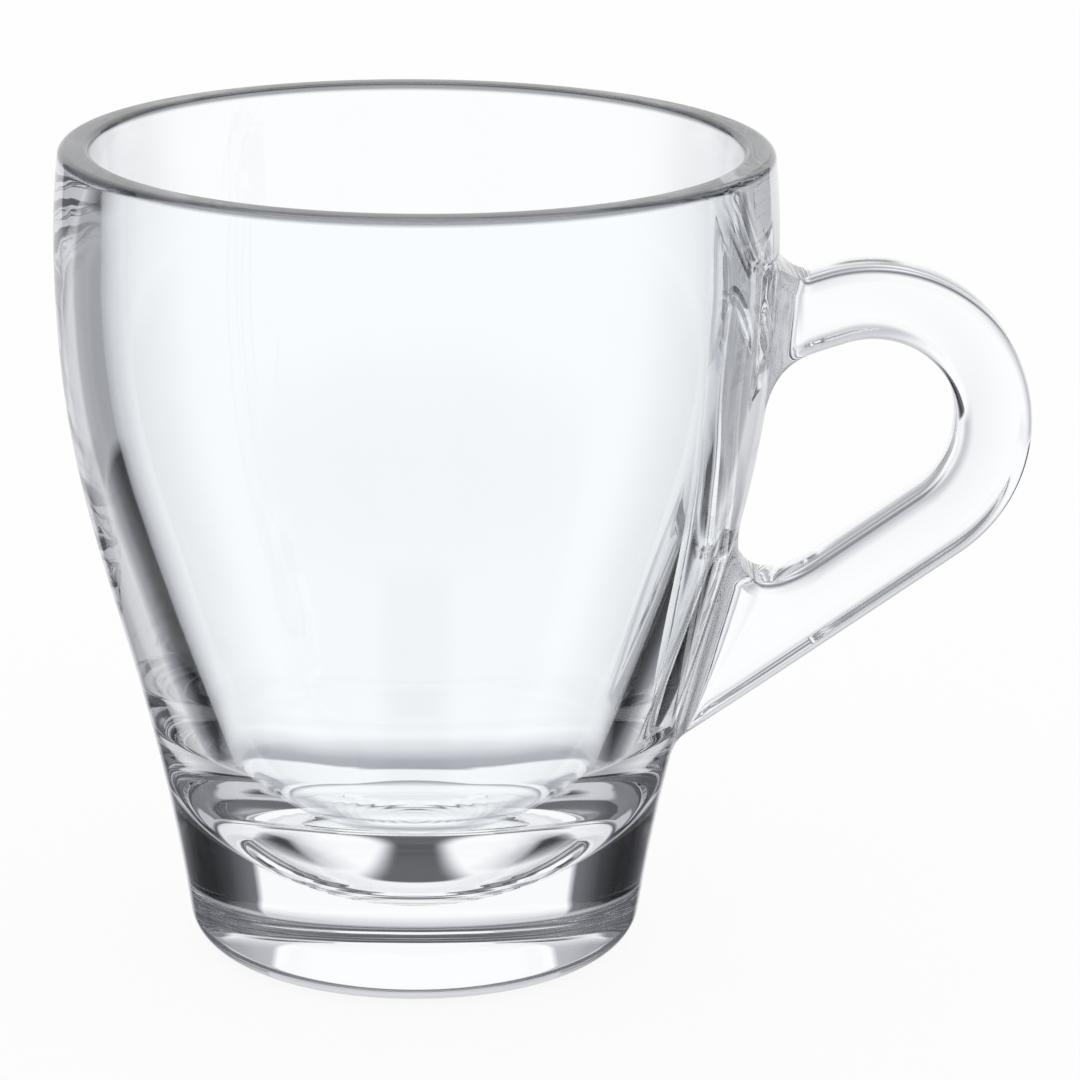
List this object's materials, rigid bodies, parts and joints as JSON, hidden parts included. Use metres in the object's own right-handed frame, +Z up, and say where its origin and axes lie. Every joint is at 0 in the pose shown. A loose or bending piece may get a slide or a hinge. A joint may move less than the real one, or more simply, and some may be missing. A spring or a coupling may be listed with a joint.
{
  "type": "glass coffee cup",
  "caption": "Clear glass coffee cup with a round bowl that tapers to a heavy base, and a side loop handle fused to its wall.",
  "frame": {"origin": "middle of the flat underside that the cup stands on", "axes": "+Z up along the bowl's axis, +X out along the handle"},
  "size_m": [0.1088, 0.0802, 0.092],
  "materials": {
    "clear_glass": "pressed and fire-polished, smooth and clear"
  },
  "bodies": {
    "root": {"bowl": "clear_glass", "handle": "clear_glass"}
  },
  "joints": []
}
